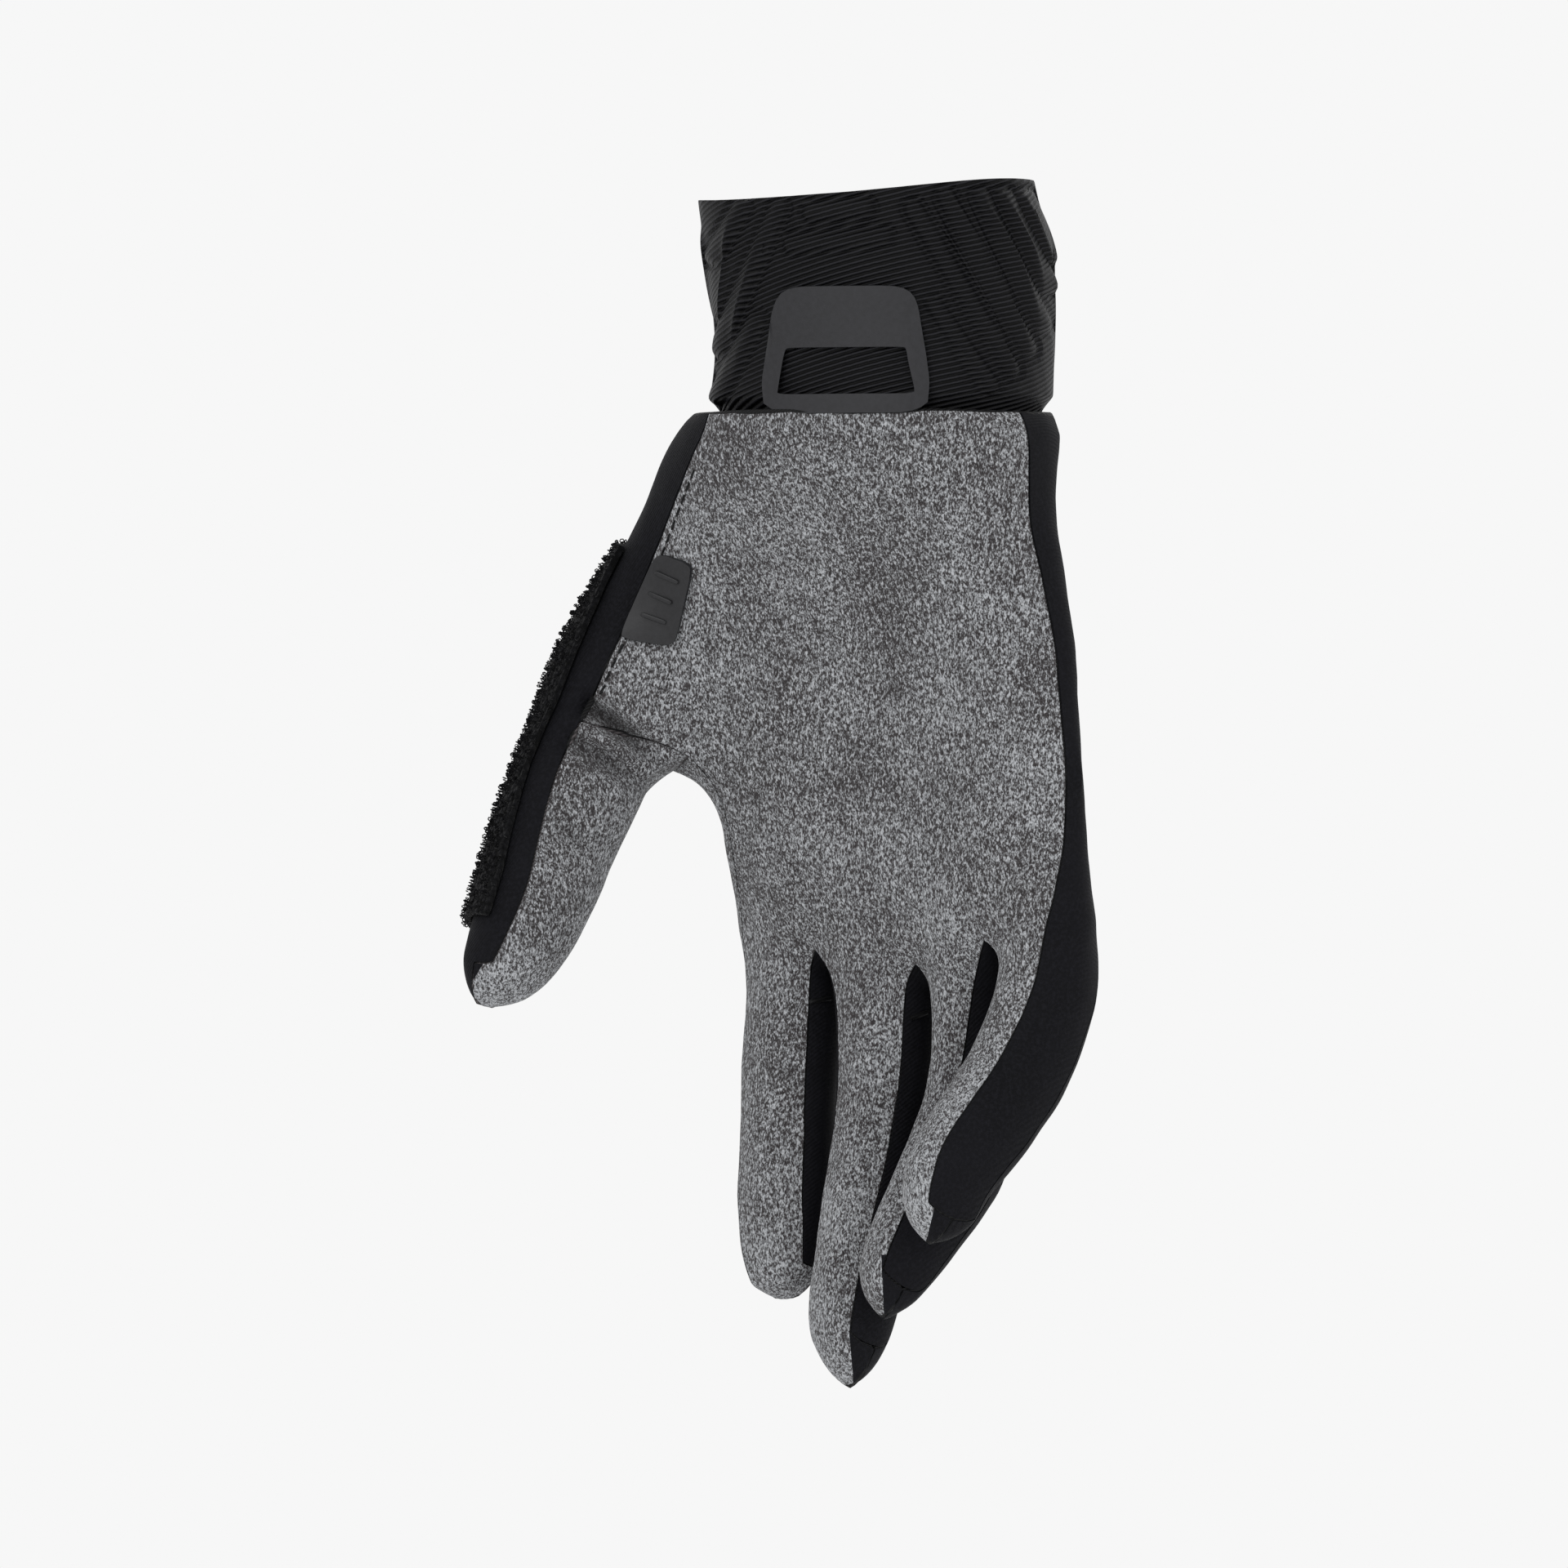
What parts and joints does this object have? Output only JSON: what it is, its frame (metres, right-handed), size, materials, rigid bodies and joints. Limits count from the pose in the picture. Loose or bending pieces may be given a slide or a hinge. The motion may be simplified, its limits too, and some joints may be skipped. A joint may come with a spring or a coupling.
{
  "type": "mountain bike glove",
  "caption": "Full-finger right-hand riding glove with suede palm, black softshell back, ribbed twill wrist cuff, terry thumb wipe and a rubber tab, held in its worn form.",
  "frame": {"origin": "centre of the wrist mouth, at the cuff's open end", "axes": "+Z from the fingertips towards the wrist mouth, -Y out of the palm, -X towards the thumb"},
  "size_m": [0.1245, 0.0684, 0.2364],
  "materials": {
    "suede": "napped",
    "softshell": "matt fine twill",
    "twill": "matt diagonal twill",
    "terry": "looped pile",
    "film": "satin",
    "rubber": "satin"
  },
  "bodies": {
    "root": {"cuff": "twill", "cuff_patch": "film", "palm_panel": "suede", "back_panel": "softshell", "little_side_panel": "softshell", "index_side_panel": "softshell", "fourchette_index_middle": "softshell", "fourchette_middle_ring": "softshell", "fourchette_ring_little": "softshell", "thumb_palm_panel": "suede", "thumb_back_panel": "softshell", "thumb_wipe": "terry", "side_tab": "rubber"}
  },
  "joints": []
}
